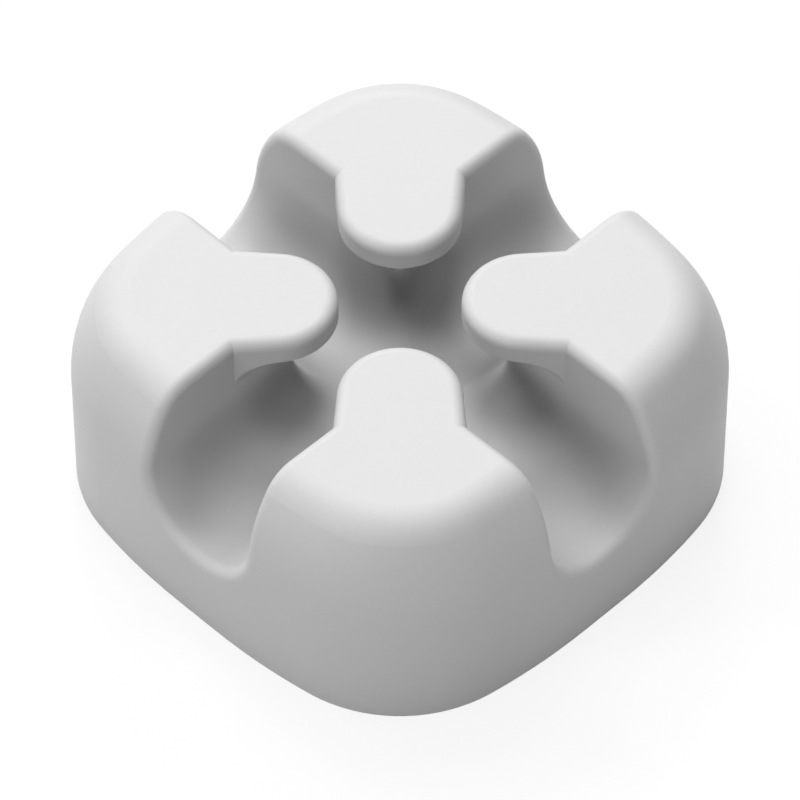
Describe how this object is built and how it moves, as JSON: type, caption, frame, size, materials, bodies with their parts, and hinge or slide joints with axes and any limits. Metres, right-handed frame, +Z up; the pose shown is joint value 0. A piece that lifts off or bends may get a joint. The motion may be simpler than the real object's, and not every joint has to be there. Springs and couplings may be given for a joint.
{
  "type": "cable clip",
  "caption": "Cushion-shaped soft cable clip with crossing U-shaped channels and thin tongues that hold a pressed-in cable.",
  "frame": {"origin": "centre of the flat underside", "axes": "+Z up, out of the flat top; one cable channel along X and the other along Y"},
  "size_m": [0.03, 0.03, 0.0132],
  "materials": {
    "elastomer": "matte light grey moulded silicone"
  },
  "bodies": {
    "root": {"clip_body": "elastomer"}
  },
  "joints": []
}
